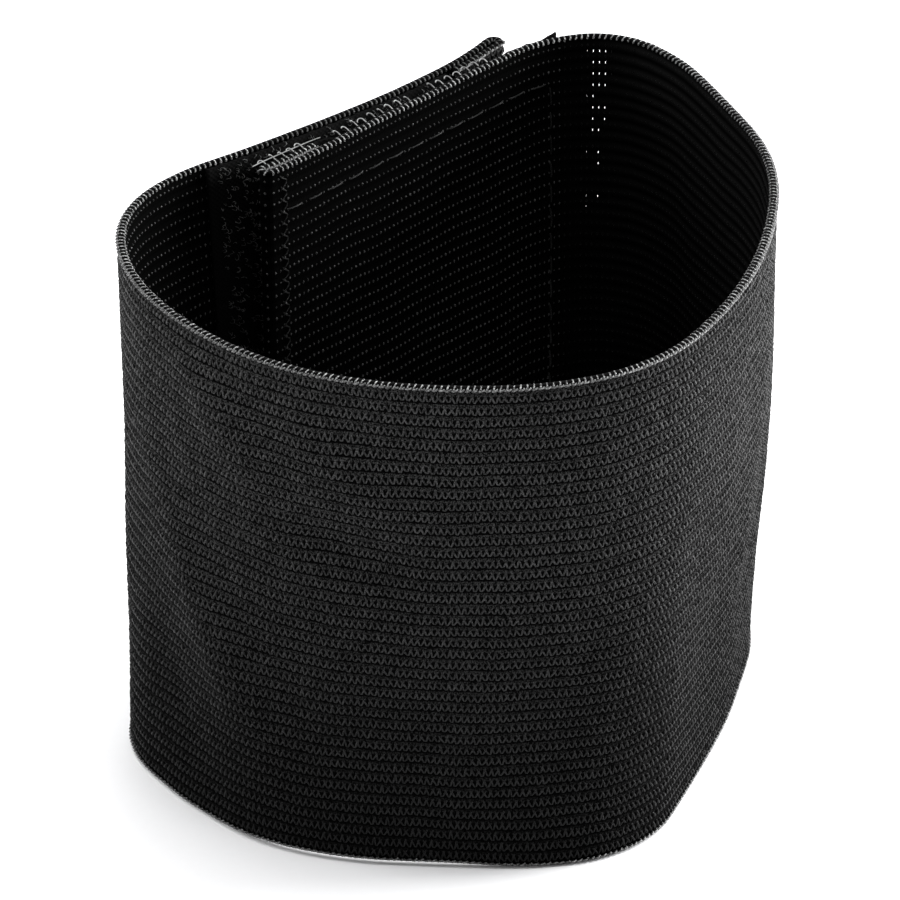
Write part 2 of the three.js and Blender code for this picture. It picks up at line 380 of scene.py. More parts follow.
def cloth_frame(cloth, heights, out=0.0):
    """Places at a distance out from the cloth's middle, and unit vectors along, up and out of it."""
    step = 0.05 * MM
    cloth, heights = np.asarray(cloth, float), np.asarray(heights, float)
    along = cloth_place(cloth + step, heights) - cloth_place(cloth - step, heights)
    up = cloth_place(cloth, heights + step) - cloth_place(cloth, heights - step)
    along /= np.linalg.norm(along, axis=1)[:, None]
    normal = np.cross(along, up)
    normal /= np.linalg.norm(normal, axis=1)[:, None]
    up = np.cross(normal, along)
    place = cloth_place(cloth, heights) + normal * np.broadcast_to(out, cloth.shape)[:, None]
    return place, along, up, normal


def maths_method(operation, swapped=False):
    """A method of Value that adds one Math node. swapped puts the value last."""

    def method(value, *others):
        return value.maths(operation, *((*others, value) if swapped else (value, *others)))

    return method


class Value:
    """A number socket of a node tree. A sum on it adds its Math nodes."""

    def __init__(self, tree, socket):
        self.tree = tree
        self.socket = socket

    def maths(self, operation, *values):
        node = self.tree.add("ShaderNodeMath", {"operation": operation}, dict(enumerate(values)))
        return Value(self.tree, node.outputs[0])

    __add__ = maths_method("ADD")
    __radd__ = maths_method("ADD", swapped=True)
    __sub__ = maths_method("SUBTRACT")
    __rsub__ = maths_method("SUBTRACT", swapped=True)
    __mul__ = maths_method("MULTIPLY")
    __rmul__ = maths_method("MULTIPLY", swapped=True)
    __truediv__ = maths_method("DIVIDE")
    __pow__ = maths_method("POWER")
    __abs__ = maths_method("ABSOLUTE")
    sine = maths_method("SINE")
    cosine = maths_method("COSINE")
    fraction = maths_method("FRACT")
    at_most = maths_method("MINIMUM")
    at_least = maths_method("MAXIMUM")


class Tree:
    """A shader or geometry tree that is written as expressions."""

    def __init__(self, tree):
        self.tree = tree

    def add(self, kind, settings=(), sockets=()):
        """Adds a node: its settings come first, then the value or the link of each socket named."""
        node = self.tree.nodes.new(kind)
        for name, value in dict(settings).items():
            setattr(node, name, value)
        for key, value in dict(sockets).items():
            value = value.socket if isinstance(value, Value) else value
            if isinstance(value, bpy.types.NodeSocket):
                self.tree.links.new(value, node.inputs[key])
            else:
                node.inputs[key].default_value = value
        return node

    def value(self, node, output=0):
        return Value(self, node.outputs[output])

    def vector(self, x, y, z):
        return self.add("ShaderNodeCombineXYZ", (), {0: x, 1: y, 2: z}).outputs[0]

    def mix(self, factor, first, second):
        """A colour between two, by a factor."""
        node = self.add("ShaderNodeMix", {"data_type": "RGBA"}, {0: factor, 6: first, 7: second})
        return node.outputs[2]

    def noise(self, vector, kind):
        sockets = {"Vector": vector, **{name.capitalize(): size for name, size in kind._asdict().items()}}
        return self.value(self.add("ShaderNodeTexNoise", (), sockets))

    def eased(self, value, low, high):
        """0 at low, 1 at high, and eased between them."""
        settings = {"interpolation_type": "SMOOTHSTEP"}
        return self.value(self.add("ShaderNodeMapRange", settings, {0: value, 1: low, 2: high}))

    def object_place(self):
        return self.add("ShaderNodeTexCoord").outputs["Object"]

    def flat_place(self):
        """Where a point lies on the flat cloth: along it and up it."""
        place = self.add("ShaderNodeUVMap", {"uv_map": "cloth"})
        split = self.add("ShaderNodeSeparateXYZ", (), {0: place.outputs[0]})
        return self.value(split, 0), self.value(split, 1)

    def surface(self, name):
        """An attribute of a surface, for its shader."""
        return self.value(self.add("ShaderNodeAttribute", {"attribute_name": name}), "Fac")

    def named(self, name, kind="FLOAT_VECTOR"):
        """An attribute of a mesh, for its geometry."""
        return self.add("GeometryNodeInputNamedAttribute", {"data_type": kind}, {0: name}).outputs[0]


# The materials' noises: how fine each is, in turns a metre, its detail and its roughness. Painted shade
# darkens the cloth's tone towards the floor between these heights.
Noise = namedtuple("Noise", "scale detail roughness")
GROUND_FUZZ = Noise(2600, 3, 0.6)
GROUND_PATCHES = Noise(46, 2, 0.5)
GROUND_STRANDS = Noise(5200, 1, 0.6)
YARN_PATCHES = Noise(60, 2, 0.5)
SCUFFS = Noise(1800, 2, 0.5)
WEAVE_FUZZ = Noise(3000, 3, 0.6)
PAPER_GRAIN = Noise(900, 2, 0.5)
FLOOR_SHADE_HEIGHTS = (-12 * MM, 80 * MM)


def grey(level):
    return (level, level, level, 1.0)


def new_material(name, sockets):
    """A material with one Principled shader, whose constant sockets are set here."""
    material = bpy.data.materials.new(name)
    material.use_nodes = True
    tree = Tree(material.node_tree)
    shader = material.node_tree.nodes["Principled BSDF"]
    for key, value in sockets.items():
        shader.inputs[key].default_value = value
    return material, tree, shader


def toned(tree, shader, shade, dark, light, roughness):
    """Feeds a colour between two greys, and a roughness, to the shader."""
    links = tree.tree.links
    links.new(tree.mix(shade, grey(dark), grey(light)), shader.inputs["Base Color"])
    links.new(roughness.socket, shader.inputs["Roughness"])


def bumped(tree, shader, height, distance, strength):
    """Feeds a height in metres to the shader's normal."""
    sockets = {"Strength": strength, "Distance": distance, "Height": height}
    node = tree.add("ShaderNodeBump", (), sockets)
    tree.tree.links.new(node.outputs[0], shader.inputs["Normal"])


def lit_share(tree, object_place, fade):
    """The share of a tone that is left at each height: less towards the floor, which is painted shade."""
    height = tree.add("ShaderNodeSeparateXYZ", (), {0: object_place}).outputs[2]
    return 1 - (1 - tree.eased(Value(tree, height), *FLOOR_SHADE_HEIGHTS)) * fade


def ground_material(dark, light, fade):
    """The knit behind the stitches: fine filaments across the ribs, painted shade in the grooves and on the
    inner face, a painted highlight on the inner ribs' crests round the loop, and the necks between the
    stitches."""
    material, tree, shader = new_material("elastic_ground", {"Specular IOR Level": 0.012})
    along, up = tree.flat_place()
    place = tree.object_place()
    fuzz = tree.noise(place, GROUND_FUZZ)
    patches = tree.noise(place, GROUND_PATCHES)
    outward = tree.surface("outward")
    rib_place = ((up - SELVEDGE) / RIB_PITCH).fraction()
    rib = (rib_place * math.pi).sine()
    filament = (along * (2 * math.pi / (COURSE / 3)) + fuzz * 3).sine() * 0.5 + 0.5
    strands = tree.eased(tree.noise(place, GROUND_STRANDS), 0.44, 0.6)
    neck = tree.eased(rib_place, *NECK_STARTS) * (1 - tree.eased(rib_place, *NECK_ENDS)) * outward
    # Painted shade: the grooves are darker than the crests, and the inner face is painted darker than the
    # outer one.
    plain = (rib * 0.03 + filament * 0.03) * (outward * 0.6 + 0.4)
    # Painted highlight: the inner face's rib crests are lighter round the loop, away from the two ends.
    past_outer = tree.eased(along, STRIP_AT + OUTER_PART - TONE_CHANGE, STRIP_AT + OUTER_PART)
    inner_start = STRIP_AT + STRIP - INNER_PART
    past_round = tree.eased(along, inner_start - TONE_CHANGE, inner_start)
    inner_crest_highlight = (1 - outward) * past_outer * (1 - past_round) * rib * rib * 0.12
    shade = (plain + inner_crest_highlight + neck * strands) * (0.7 + patches * 0.6) * lit_share(tree, place, fade)
    toned(tree, shader, shade.at_most(1.0), dark, light, 0.74 + fuzz * 0.24)
    bumped(tree, shader, filament * 0.6 + fuzz * 0.4, 0.05 * MM, 0.8)
    return material


def yarn_material(name, dark, light, roughness, gloss, fibre=4200.0, fade=0.0):
    """Twisted black yarn. Each stitch has its own tone, fibres roughen it, and painted shade can darken it
    towards the floor."""
    material, tree, shader = new_material(name, {"Specular IOR Level": gloss})
    tone = tree.surface("tone")
    place = tree.object_place()
    fibres = tree.eased(tree.noise(place, Noise(fibre, 1, 0.6)), 0.47, 0.59)
    patches = tree.noise(place, YARN_PATCHES)
    shade = (tone * 0.3 + fibres * 0.8 + patches * 0.3 - 0.2).at_least(0.0)
    # Painted shade: the yarn's tone is painted darker towards the floor.
    shade = shade * lit_share(tree, place, fade)
    toned(tree, shader, shade.at_most(1.0), dark, light, roughness - 0.1 + fibres * 0.2)
    bumped(tree, shader, fibres, 0.06 * MM, 0.7)
    return material


def filament_material(name, dark, light, roughness):
    """Smooth nylon filament of the hooks and the loose thread, which catches the light."""
    material, tree, shader = new_material(name, {"Specular IOR Level": 0.6, "IOR": 1.53})
    scuff = tree.noise(tree.object_place(), SCUFFS)
    toned(tree, shader, tree.surface("tone"), dark, light, roughness + scuff * 0.2)
    bumped(tree, shader, scuff, 0.02 * MM, 0.5)
    return material


def backing_material(name, dark, light):
    """The plain weave of a tape's backing."""
    material, tree, shader = new_material(name, {"Specular IOR Level": 0.02})
    along, up = tree.flat_place()
    fuzz = tree.noise(tree.object_place(), WEAVE_FUZZ)
    turns = 2 * math.pi / WEAVE_PITCH
    weave = tree.eased((along * turns).sine() * (up * turns).sine(), -0.4, 0.5)
    toned(tree, shader, weave * 0.6 + fuzz * 0.4, dark, light, 0.6 + fuzz * 0.3)
    bumped(tree, shader, weave * 0.7 + fuzz * 0.3, 0.08 * MM, 0.8)
    return material


def floor_material(colour):
    """Pale matt paper with a very fine grain."""
    material, tree, shader = new_material("studio_paper", {"Specular IOR Level": 0.1})
    grain = tree.noise(tree.object_place(), PAPER_GRAIN)
    paler = tuple(min(1.0, part * 1.02) for part in colour[:3]) + (1.0,)
    tree.tree.links.new(tree.mix(grain, tuple(colour), paler), shader.inputs["Base Color"])
    tree.tree.links.new((0.85 + grain * 0.1).socket, shader.inputs["Roughness"])
    return material


def new_tree(name, sockets):
    """A geometry tree with its named inputs, each (name, socket type, default), and one output."""
    tree = Tree(bpy.data.node_groups.new(name, "GeometryNodeTree"))
    face = tree.tree.interface
    face.new_socket("Geometry", in_out="OUTPUT", socket_type="NodeSocketGeometry")
    face.new_socket("Geometry", in_out="INPUT", socket_type="NodeSocketGeometry")
    for label, kind, default in sockets:
        item = face.new_socket(label, in_out="INPUT", socket_type="NodeSocket" + kind)
        if default is not None:
            item.default_value = default
    given = tree.add("NodeGroupInput")
    return tree, given


def finish_tree(tree, geometry, given):
    """Ends a tree in plain, smooth geometry of one material."""
    plain = tree.add("GeometryNodeRealizeInstances", (), {0: geometry})
    smooth = tree.add("GeometryNodeSetShadeSmooth", (), {0: plain.outputs[0]})
    sockets = {"Geometry": smooth.outputs[0], "Material": given.outputs["Material"]}
    painted = tree.add("GeometryNodeSetMaterial", (), sockets)
    tree.add("NodeGroupOutput", (), {0: painted.outputs[0]})


def v_stitch(tree, t, length, height, bulge):
    """A knitted loop that hangs down its rib, and whose ends cross its neighbours' at the top."""
    side = t * 2 - 1
    x = side * (0.58 + 0.1 * side * side) * length
    rise = tree.eased(abs(side), 0.1, 1.0) * 2 - 1
    return x, rise * height * 0.5, bulge * (1 - rise * rise)


def edge_wrap(tree, t, length, height, bulge):
    """A thread that goes over the edge, from low on one face to low on the other, and slants."""
    past = 0.45
    angle = t * (math.pi + past * 2) - past
    return length * (t - 0.5), height * angle.sine(), bulge * angle.cosine()


def arched_dash(tree, t, length, height, bulge):
    """A stitch that comes out of the cloth, lies on it and goes in again."""
    side = t * 2 - 1
    return length * (t - 0.5), height * (t - 0.5), bulge * (1 - side ** 4 * 2)


def hook(tree, t, length, height, bulge):
    """A filament that stands on its tape and turns over at its tip."""
    stem = t.at_most(0.4) * 2.5 * (height - length * 0.5)
    angle = (t.at_least(0.4) - 0.4) * (math.pi * 0.9 / 0.6)
    x = length * 0.5 * (1 - angle.cosine())
    return x, bulge * t * t, stem + length * 0.5 * angle.sine()


def pile_loop(tree, t, length, height, bulge):
    """A loop of the pile, with both feet in the tape."""
    angle = t * (math.pi * 1.24) - math.pi * 0.12
    x = length * -0.5 * angle.cosine()
    return x, bulge * (angle * 2).sine(), height * angle.sine()


SIZES = [("Length", "Float", 1 * MM), ("Height", "Float", 1 * MM), ("Bulge", "Float", 0.2 * MM)]
PLACING = [
    ("Size jitter", "Float", 0.1), ("Turn jitter", "Float", 0.1), ("Seed", "Int", 0),
    ("Material", "Material", None),
]


def bead_tree():
    """Puts a small bead on every point: the inner face's knitted bumps."""
    tree, given = new_tree("knit_bead", SIZES + PLACING)
    ball = tree.add("GeometryNodeMeshUVSphere", (), {"Segments": 4, "Rings": 2, "Radius": 1.0})
    half = [tree.value(given, name) * 0.5 for name in ("Length", "Height")]
    scale = tree.vector(half[0], half[1], tree.value(given, "Bulge"))
    shape = tree.add("GeometryNodeTransform", (), {"Geometry": ball.outputs[0], "Scale": scale})
    finish_tree(tree, placed(tree, given, shape.outputs[0]), given)
    return tree.tree


def thread_tree(name, shape):
    """Puts a short thread of one shape on every point."""
    own = [("Thread radius", "Float", 0.15 * MM), ("Points", "Int", 5), ("Sides", "Int", 3)]
    tree, given = new_tree(name, SIZES + own + PLACING)
    line = tree.add("GeometryNodeMeshLine", (), {"Count": given.outputs["Points"]})
    index = tree.value(tree.add("GeometryNodeInputIndex"))
    t = index / (tree.value(given, "Points") - 1)
    sizes = [tree.value(given, label) for label in ("Length", "Height", "Bulge")]
    place = tree.vector(*shape(tree, t, *sizes))
    bent = tree.add("GeometryNodeSetPosition", (), {"Geometry": line.outputs[0], "Position": place})
    curve = tree.add("GeometryNodeMeshToCurve", (), {0: bent.outputs[0]})
    ring_sockets = {"Resolution": given.outputs["Sides"], "Radius": given.outputs["Thread radius"]}
    ring = tree.add("GeometryNodeCurvePrimitiveCircle", (), ring_sockets)
    sweep_sockets = {"Curve": curve.outputs[0], "Profile Curve": ring.outputs[0], "Fill Caps": True}
    sweep = tree.add("GeometryNodeCurveToMesh", (), sweep_sockets)
    finish_tree(tree, placed(tree, given, sweep.outputs[0]), given)
    return tree.tree


def placed(tree, given, shape):
    """Instances of a shape on the points, each turned to the cloth and a little unlike the next."""
    axes = {"primary_axis": "Z", "secondary_axis": "X"}
    ways = {0: tree.named("out"), 1: tree.named("along")}
    turned = tree.add("FunctionNodeAxesToRotation", axes, ways)
    seed = tree.value(given, "Seed")
    turn = tree.value(given, "Turn jitter")
    turn_settings = {"data_type": "FLOAT"}
    own_turn = tree.add("FunctionNodeRandomValue", turn_settings, {2: turn * -1, 3: turn, "Seed": seed})
    euler = tree.add("FunctionNodeEulerToRotation", (), {0: tree.vector(0.0, 0.0, own_turn.outputs[1])})
    rotation_sockets = {0: turned.outputs[0], 1: euler.outputs[0]}
    rotation = tree.add("FunctionNodeRotateRotation", {"rotation_space": "LOCAL"}, rotation_sockets)
    grow = tree.value(given, "Size jitter")
    least = tree.vector(1 - grow, 1 - grow, 1 - grow)
    most = tree.vector(1 + grow, 1 + grow, 1 + grow)
    scale_sockets = {0: least, 1: most, "Seed": seed + 1}
    scale = tree.add("FunctionNodeRandomValue", {"data_type": "FLOAT_VECTOR"}, scale_sockets)
    instance_sockets = {
        "Points": given.outputs["Geometry"], "Instance": shape,
        "Rotation": rotation.outputs[0], "Scale": scale.outputs[0],
    }
    instances = tree.add("GeometryNodeInstanceOnPoints", (), instance_sockets)
    tone = tree.add("FunctionNodeRandomValue", turn_settings, {"Seed": seed + 2})
    store_sockets = {"Geometry": instances.outputs[0], "Name": "tone", "Value": tone.outputs[1]}
    store_settings = {"data_type": "FLOAT", "domain": "INSTANCE"}
    return tree.add("GeometryNodeStoreNamedAttribute", store_settings, store_sockets).outputs[0]


def relief_tree():
    """Sinks the grooves between the ribs into a smooth wall."""
    sockets = [
        ("Rib pitch", "Float", RIB_PITCH), ("Selvedge", "Float", SELVEDGE), ("Width", "Float", BAND_WIDTH),
        ("Rib depth", "Float", 0.2 * MM), ("Material", "Material", None),
    ]
    tree, given = new_tree("rib_relief", sockets)
    height, out = Value(tree, tree.named("height", "FLOAT")), tree.named("out")
    selvedge, width = tree.value(given, "Selvedge"), tree.value(given, "Width")
    lower = (height / selvedge).at_least(0.0).at_most(1.0)
    upper = ((height - width + selvedge) / selvedge).at_least(0.0).at_most(1.0)
    middle = height.at_least(selvedge).at_most(width - selvedge) - selvedge
    rib = lower + upper + middle / tree.value(given, "Rib pitch")
    crown = abs((rib * math.pi).sine()) ** 0.5
    sink = (crown - 1) * tree.value(given, "Rib depth")
    offset = tree.add("ShaderNodeVectorMath", {"operation": "SCALE"}, {0: out, "Scale": sink})
    moved_sockets = {"Geometry": given.outputs["Geometry"], "Offset": offset.outputs[0]}
    moved = tree.add("GeometryNodeSetPosition", (), moved_sockets)
    finish_tree(tree, moved.outputs[0], given)
    return tree.tree


def grown(name, bed, tree, sizes):
    """Runs a geometry tree on a bed with these named inputs, and keeps the result as a plain mesh."""
    modifier = bed.modifiers.new(name, "NODES")
    modifier.node_group = tree
    for item in tree.interface.items_tree:
        if item.in_out == "INPUT" and item.name in sizes:
            modifier[item.identifier] = sizes[item.name]
    graph = bpy.context.evaluated_depsgraph_get()
    mesh = bpy.data.meshes.new_from_object(bed.evaluated_get(graph), depsgraph=graph)
    bpy.data.objects.remove(bed)
    mesh.name = name
    for extra in ("out", "along", "height"):
        if extra in mesh.attributes:
            mesh.attributes.remove(mesh.attributes[extra])
    if not mesh.polygons:
        raise RuntimeError(f"{name} came out empty")
    return show(name, mesh)


def show(name, mesh):
    piece = bpy.data.objects.new(name, mesh)
    bpy.context.scene.collection.objects.link(piece)
    return piece


def attach(piece, slot, *nodes):
    """Puts a piece on the armband's one body, and in the place of its CAD nodes."""
    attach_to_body(piece, "root")
    if nodes:
        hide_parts(*nodes)


def stitch_bed(name, cloth, heights, out, face=1.0, flip=1.0):
    """Points on the cloth, each with the way out of it and along it. face is -1 on the inner side."""
    place, along, _, normal = cloth_frame(cloth, heights, out * face)
    return point_bed(name, place, normal * face, along * flip)


def point_bed(name, places, outs, alongs):
    mesh = bpy.data.meshes.new(name)
    mesh.vertices.add(len(places))
    mesh.vertices.foreach_set("co", places.astype(np.float32).ravel())
    for label, vectors in (("out", outs), ("along", alongs)):
        attribute = mesh.attributes.new(label, "FLOAT_VECTOR", "POINT")
        attribute.data.foreach_set("vector", vectors.astype(np.float32).ravel())
    return show(name, mesh)


def wall_faces(columns, rows, open_cells=()):
    """Quads of a closed wall whose outer vertices come first, column by column. Each open cell is
    (column, outer row, inner row), and gets a tunnel in the place of its two faces."""
    inner = columns * rows

    def ring(column, row, base):
        first = base + column * rows + row
        return [first, first + rows, first + rows + 1, first + 1]

    holes_out = {(column, row) for column, row, _ in open_cells}
    holes_in = {(column, row) for column, _, row in open_cells}
    faces = []
    for column in range(columns - 1):
        for row in range(rows - 1):
            if (column, row) not in holes_out:
                faces.append(ring(column, row, 0))
            if (column, row) not in holes_in:
                faces.append(ring(column, row, inner)[::-1])
        low, top = column * rows, column * rows + rows - 1
        faces.append([low, inner + low, inner + low + rows, low + rows])
        faces.append([top, top + rows, inner + top + rows, inner + top])
    end = (columns - 1) * rows
    for row in range(rows - 1):
        faces.append([row, row + 1, inner + row + 1, inner + row])
        faces.append([end + row, inner + end + row, inner + end + row + 1, end + row + 1])
    for column, outer_row, inner_row in open_cells:
        out, back = ring(column, outer_row, 0), ring(column, inner_row, inner)
        for corner in range(4):
            after = (corner + 1) % 4
            faces.append([out[corner], out[after], back[after], back[corner]])
    return faces


def wall_mesh(name, outer, inner, cloth, heights, open_cells=()):
    """A closed wall from its two faces, given as (columns, rows, 3), with a map of the flat cloth."""
    columns, rows = outer.shape[:2]
    points = np.concatenate([outer.reshape(-1, 3), inner.reshape(-1, 3)])
    mesh = bpy.data.meshes.new(name)
    mesh.from_pydata(points, [], wall_faces(columns, rows, open_cells))
    flat = np.tile(np.column_stack([cloth.ravel(), heights.ravel()]), (2, 1))
    corners = np.zeros(len(mesh.loops), np.int32)
    mesh.loops.foreach_get("vertex_index", corners)
    layer = mesh.uv_layers.new(name="cloth")
    layer.data.foreach_set("uv", flat[corners].astype(np.float32).ravel())
    mesh.polygons.foreach_set("use_smooth", np.ones(len(mesh.polygons), bool))
    mesh.update()
    return mesh


def rib_heights():
    """Row heights: a groove, a shoulder, the crown and a shoulder for each rib, and the selvedges."""
    selvedge_rows = [0.12 * MM, 0.3 * MM, 0.55 * MM]
    phases = (0, 0.14, 0.5, 0.86)
    ribs = [SELVEDGE + (rib + phase) * RIB_PITCH for rib in range(RIBS) for phase in phases]
    top = [BAND_WIDTH - SELVEDGE] + [BAND_WIDTH - height for height in reversed(selvedge_rows)]
    return np.array(selvedge_rows + ribs + top)


def rib_drift(cloth, heights):
    """How far the ribs wander up or down, less towards the selvedges."""
    free = smoothstep(np.minimum(heights, BAND_WIDTH - heights), *DRIFT_STARTS)
    return wave_sum(RIB_SLACK, cloth, heights) * free


def pinhole_courses():
    """The two sides of each course of pinholes, as cloth lengths, by its number."""
    nearest = round((STRIP_AT + PINHOLES_AT - FIRST_COURSE) / COURSE)
    sides = {}
    for number, width in PINHOLE_WIDTHS.items():
        middle = FIRST_COURSE + (nearest + number) * COURSE
        sides[number] = (middle - width / 2, middle + width / 2)
    return sides


def cloth_columns():
    """Lengths of cloth: even ones, close ones round the folds, and a pair at each pinhole."""
    step, fold_columns = 3 * COURSE, 9
    folds = [OUTER_HEM, CLOTH - INNER_HEM - FOLD]
    sides = [side for pair in pinhole_courses().values() for side in pair]
    before, after = sides[0] - COURSE, sides[-1] + COURSE
    spans = [0, folds[0], folds[0] + FOLD, before, after]
    spans += [folds[1], folds[1] + FOLD, CLOTH]
    pieces = []
    for start, end in zip(spans, spans[1:]):
        count = fold_columns if start in folds else max(1, round((end - start) / step))
        if start != spans[3]:
            pieces.append(np.linspace(start, end, count, endpoint=False))
    return np.sort(np.concatenate(pieces + [[before], sides, [CLOTH]]))


def pinhole_cells(columns, heights):
    """The open cells: each tunnel slopes down from the inner face, as a loose stitch leaves it."""
    courses = pinhole_courses()
    cells = []
    for rib, numbers in PINHOLES.items():
        groove = BAND_WIDTH - SELVEDGE - rib * RIB_PITCH
        row = int(np.argmin(abs(heights - groove)))
        for number in numbers:
            column = int(np.argmin(abs(columns - courses[number][0])))
            cells.append((column, row - 2, row - 1))
    return cells


def build_cloth(settings):
    """The elastic strip with its two folded hems, ribbed on both faces."""
    columns, heights = cloth_columns(), rib_heights()
    cloth, high = (grid.ravel() for grid in np.meshgrid(columns, heights, indexing="ij"))
    level = high + rib_drift(cloth, high)
    place, _, _, normal = cloth_frame(cloth, level)
    half = settings.ground_thickness / 2
    shape = (len(columns), len(heights), 3)
    outer, inner = (place + normal * half * hand for hand in (1, -1))
    cells = pinhole_cells(columns, heights)
    mesh = wall_mesh("elastic_cloth", outer.reshape(shape), inner.reshape(shape), cloth, high, cells)
    for label, kind, key, values in (
        ("height", "FLOAT", "value", np.tile(high, 2)),
        ("outward", "FLOAT", "value", np.repeat([1.0, 0.0], len(high))),
        ("out", "FLOAT_VECTOR", "vector", np.concatenate([normal, -normal])),
    ):
        attribute = mesh.attributes.new(label, kind, "POINT")
        attribute.data.foreach_set(key, values.astype(np.float32).ravel())
    material = ground_material(settings.ground_dark, settings.ground_light, settings.fade)
    sizes = {"Rib depth": settings.rib_depth, "Material": material}
    piece = grown("elastic_cloth", show("cloth_bed", mesh), relief_tree(), sizes)
    attach(piece, "ribbed_elastic", "elastic_band")


def covered(cloth, tape, end):
    """Whether a tape covers the strip at these lengths of cloth. end says which end carries it."""
    length = cloth - STRIP_AT
    from_end = length if end == "outer" else STRIP - length
    return (from_end > tape.start + UNDER_TAPE) & (from_end < tape.end - UNDER_TAPE)


def course_grid(first_rib, last_rib, shift=0.5):
    """Stitch places on these ribs: the cloth length and the height of every course."""
    courses = np.arange(FIRST_COURSE, CLOTH - 0.4 * COURSE, COURSE)
    ribs = SELVEDGE + (np.arange(first_rib, last_rib) + shift) * RIB_PITCH
    cloth, heights = (grid.ravel() for grid in np.meshgrid(courses, ribs, indexing="ij"))
    return cloth, heights + rib_drift(cloth, heights)


# A thread before its tree bends it, and a bead: how far each runs along the cloth, up it and out of it, the
# thread's radius, points and sides, and how unlike its neighbours it is in size and in turn.
Thread = namedtuple("Thread", "length height bulge thread_radius points sides size_jitter turn_jitter")
Bead = namedtuple("Bead", "length height bulge size_jitter turn_jitter")
EDGE_WRAP = Thread(0.36 * MM, 0.3 * MM, 0.55 * MM, 0.165 * MM, 7, 5, 0.05, 0.12)
EDGE_CHAIN = Thread(0.86 * MM, 0.22 * MM, 0.14 * MM, 0.15 * MM, 5, 4, 0.08, 0.1)
PILE_LOOP = Thread(0.6 * MM, 0.6 * MM, 0.15 * MM, 0.05 * MM, 6, 3, 0.35, math.pi)
SEAM_STITCH = Thread(2.9 * MM, 0.12 * MM, 0.14 * MM, 0.13 * MM, 7, 5, 0.1, 0.04)
ZIGZAG = Thread(RIB_PITCH, 1.2 * MM, 0.1 * MM, 0.1 * MM, 9, 4, 0.06, 0.06)
INNER_BEAD = Bead(0.42 * MM, 0.5 * MM, 0.2 * MM, 0.3, 0.3)


def cover(name, slot, bed, tree, shape, seed, material):
    """Puts a thread or a bead on every point of a bed, and attaches the piece."""
    sizes = {field.replace("_", " ").capitalize(): size for field, size in shape._asdict().items()}
    attach(grown(name, bed, tree, {**sizes, "Seed": seed, "Material": material}), slot)


def build_outer_stitches(settings):
    """Knitted loops on every rib of the outer face, in three pieces from the lower edge up."""
    tree = thread_tree("knit_loop", v_stitch)
    dark, light = settings.yarn_dark, settings.yarn_light
    material = yarn_material("elastic_yarn", dark, light, 0.5, 0.14, 5000.0, settings.fade)
    sizes = (COURSE, settings.stitch_height, settings.stitch_bulge, settings.yarn_radius)
    loop = Thread(*sizes, points=6, sides=3, size_jitter=0.13, turn_jitter=0.2)
    parts = [("lower", 0, 14), ("middle", 14, 28), ("upper", 28, RIBS)]
    for number, (name, first, last) in enumerate(parts):
        cloth, heights = course_grid(first, last, STITCH_MIDDLE)
        free = ~covered(cloth, HOOK_TAPE, "inner")
        bed = stitch_bed("bed", cloth[free], heights[free], settings.stitch_seat)
        cover(f"outer_stitches_{name}", "ribbed_elastic", bed, tree, loop, 10 * number, material)


def build_inner_stitches(settings):
    """A row of small knitted bumps on every rib of the inner face: a lit copy near the two ends, lighter and
    glossier, and a copy darkened with painted shade round the loop.
    """
    tree = bead_tree()
    cloth, heights = course_grid(0, RIBS)
    free = ~covered(cloth, LOOP_TAPE, "outer")
    at_ends = (cloth < STRIP_AT + OUTER_PART) | (cloth > STRIP_AT + STRIP - INNER_PART)
    # Lit and shaded copies of one yarn: the round part's bumps are painted dark as painted shade.
    for name, chosen, light, gloss, seed in (
        ("ends", free & at_ends, settings.inner_light, 0.4, 40),
        ("round", free & ~at_ends, settings.inner_round_light, 0.06, 45),
    ):
        bed = stitch_bed("bed", cloth[chosen], heights[chosen], settings.bead_seat, face=-1.0)
        material = yarn_material(f"inner_yarn_{name}", settings.inner_dark, light, 0.45, gloss)
        cover(f"inner_stitches_{name}", "ribbed_elastic", bed, tree, INNER_BEAD, seed, material)


# The selvedges' yarns: their tones as shares of the edge's darkest and lightest, and their finish. The
# edge's grey is a painted highlight, full on the round top edge; the lap, the lower edge and the chain are
# darker copies, painted shade.
EdgeYarn = namedtuple("EdgeYarn", "name dark light roughness gloss")
EDGE_YARNS = [
    EdgeYarn("lap", 0.3, 0.3, 0.5, 0.3),
    EdgeYarn("round", 1, 1, 0.35, 0.6),
    EdgeYarn("low", 0.2, 0.2, 0.5, 0.2),
    EdgeYarn("chain", 0.3, 0.65, 0.4, 0.5),
]
WRAP_INSET = 0.48 * MM
CHAIN_INSET = 0.5 * MM
CHAIN_OUT = 0.58 * MM


def build_selvedges(settings):
    """Threads wrapped over each edge, and a chain of stitches along the outer side below them."""
    wraps = thread_tree("edge_wrap", edge_wrap)
    chains = thread_tree("edge_chain", arched_dash)
    dark, light = settings.edge_dark, settings.edge_light
    yarns = {
        yarn.name: yarn_material(
            f"selvedge_yarn_{yarn.name}", dark * yarn.dark, light * yarn.light, yarn.roughness, yarn.gloss,
        )
        for yarn in EDGE_YARNS
    }
    every = np.arange(0.5 * COURSE, CLOTH, COURSE)
    on_lap = every < STRIP_AT + LAP_PART
    # The lap's and the lower edge's threads are darker copies of the rim's, as painted shade.
    for name, hand, courses, yarn, seed in (
        ("top_lap", 1, every[on_lap], "lap", 60), ("top_round", 1, every[~on_lap], "round", 65),
        ("lower", -1, every, "low", 70),
    ):
        edge = np.full_like(courses, BAND_WIDTH if hand > 0 else 0.0)
        bed = stitch_bed("bed", courses, edge - hand * WRAP_INSET, 0.0, flip=hand)
        cover(f"{name}_edge_wraps", "ribbed_elastic", bed, wraps, EDGE_WRAP, seed, yarns[yarn])
        bed = stitch_bed("bed", courses, edge - hand * CHAIN_INSET, CHAIN_OUT, flip=hand)
        cover(f"{name}_edge_chain", "ribbed_elastic", bed, chains, EDGE_CHAIN, seed + 5, yarns["chain"])


